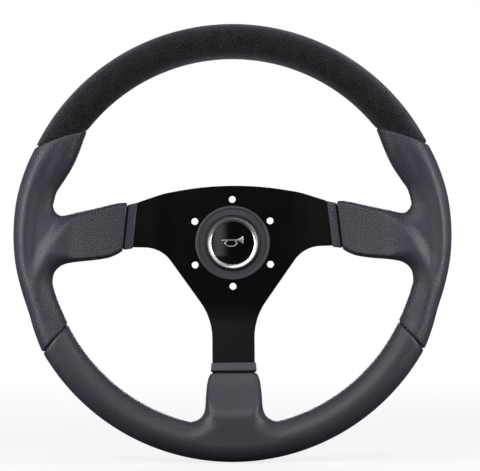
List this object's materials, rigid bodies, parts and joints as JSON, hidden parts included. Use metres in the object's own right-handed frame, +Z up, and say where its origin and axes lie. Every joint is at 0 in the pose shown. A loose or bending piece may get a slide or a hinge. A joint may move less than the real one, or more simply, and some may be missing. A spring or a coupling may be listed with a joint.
{
  "type": "car steering wheel",
  "caption": "Three-spoke sports steering wheel: black aluminium spoke plate, leather and suede covered rim with thumb grips, and a round sprung horn push in the middle.",
  "frame": {"origin": "centre of the bolt circle, on the spoke plate's back face", "axes": "+Y along the wheel's axis, away from the driver; +Z up with the wheel straight ahead; +X to the driver's right"},
  "size_m": [0.35, 0.0505, 0.3499],
  "materials": {
    "black_anodised": "black anodised, satin",
    "hoop_steel": "bare tube",
    "rivet_alloy": "bare",
    "moulded_foam": "moulded skin",
    "suede": "napped suede",
    "perforated_leather": "perforated, semi matt",
    "smooth_leather": "smooth grain, semi matt",
    "bezel_plastic": "moulded, fine spark texture",
    "cap_plastic": "moulded, satin",
    "bright_ring": "polished",
    "gloss_disc": "gloss",
    "spring_wire": "drawn wire",
    "contact_brass": "stamped",
    "base_plastic": "moulded"
  },
  "bodies": {
    "wheel": {"spoke_plate": "black_anodised", "rim_ring": "hoop_steel", "spoke_rivets": "rivet_alloy", "foam_grip": "moulded_foam", "suede_top": "suede", "leather_left": "perforated_leather", "leather_right": "perforated_leather", "leather_bottom": "smooth_leather", "cuff_left": "perforated_leather", "cuff_right": "perforated_leather", "cuff_bottom": "smooth_leather", "horn_bezel": "bezel_plastic", "return_spring": "spring_wire", "fixed_contact": "contact_brass", "spring_seat": "contact_brass", "horn_base": "base_plastic", "base_clip": "spring_wire"},
    "horn_button": {"horn_cap": "cap_plastic", "chrome_ring": "bright_ring", "emblem_disc": "gloss_disc", "moving_contact": "contact_brass", "contact_pin": "contact_brass"}
  },
  "joints": [
    {"name": "horn_press", "type": "slide", "parent": "wheel", "child": "horn_button", "axis": [0, 1, 0], "range_m": [0, 0.0018], "stiffness_N_per_m": 1500, "springref_m": -0.004, "deforming": ["return_spring"]}
  ]
}
